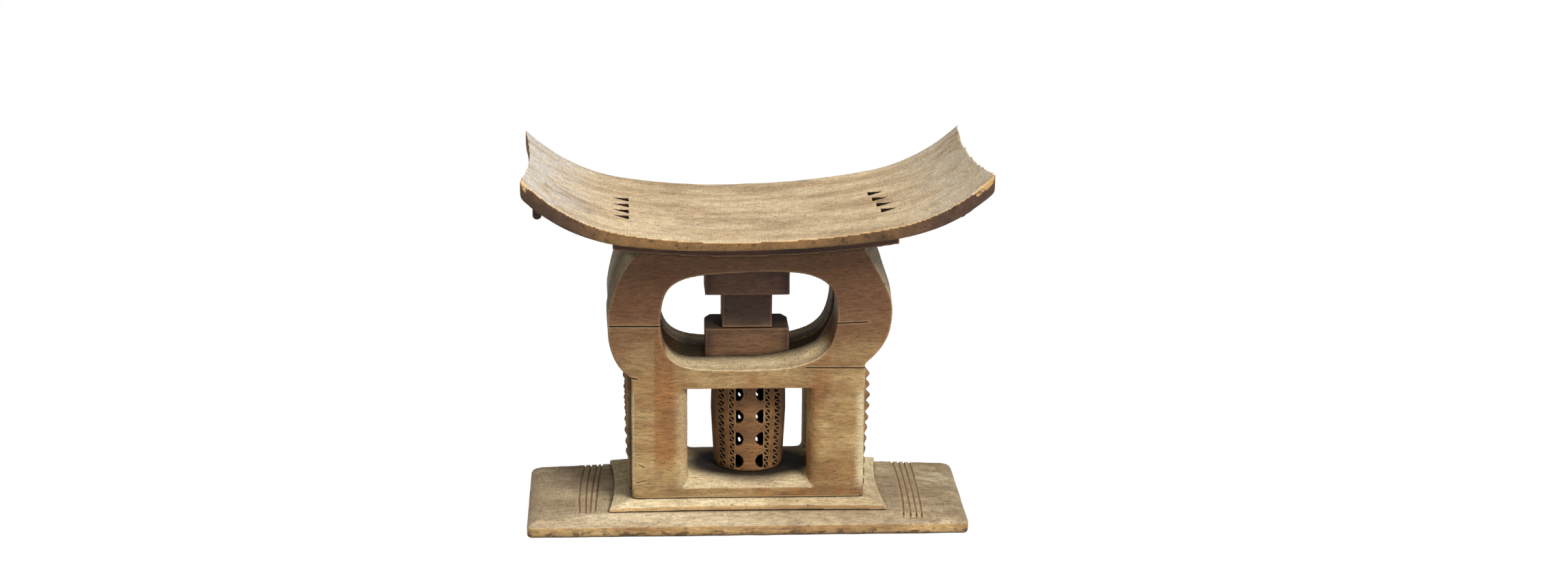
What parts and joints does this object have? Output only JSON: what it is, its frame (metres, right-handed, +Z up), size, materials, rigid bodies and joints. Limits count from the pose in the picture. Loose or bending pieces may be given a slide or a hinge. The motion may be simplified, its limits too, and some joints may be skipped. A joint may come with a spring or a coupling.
{
  "type": "ashanti stool",
  "caption": "Carved wooden stool with a crescent seat on two looped frames, studded legs and a pierced central drum, standing on a stepped base board",
  "frame": {"origin": "centre of the base board's flat underside, on the floor", "axes": "+X along the stool's length, to the right seen from the front; +Y from front to back; +Z up"},
  "size_m": [0.5582, 0.2792, 0.4633],
  "materials": {
    "seat": "worn, dry, pale on top",
    "frame": "hand polished",
    "column": "hand polished, darkened",
    "base": "worn"
  },
  "bodies": {
    "root": {"base_board": "base", "lower_step": "base", "upper_step": "base", "front_left_leg": "frame", "front_right_leg": "frame", "back_left_leg": "frame", "back_right_leg": "frame", "front_left_studs": "frame", "front_right_studs": "frame", "back_left_studs": "frame", "back_right_studs": "frame", "front_loop": "frame", "back_loop": "frame", "drum": "column", "column_block": "column", "column_neck": "column", "column_head": "column", "seat_bearer": "seat", "seat": "seat", "left_seat_lug": "seat", "right_seat_lug": "seat"}
  },
  "joints": []
}
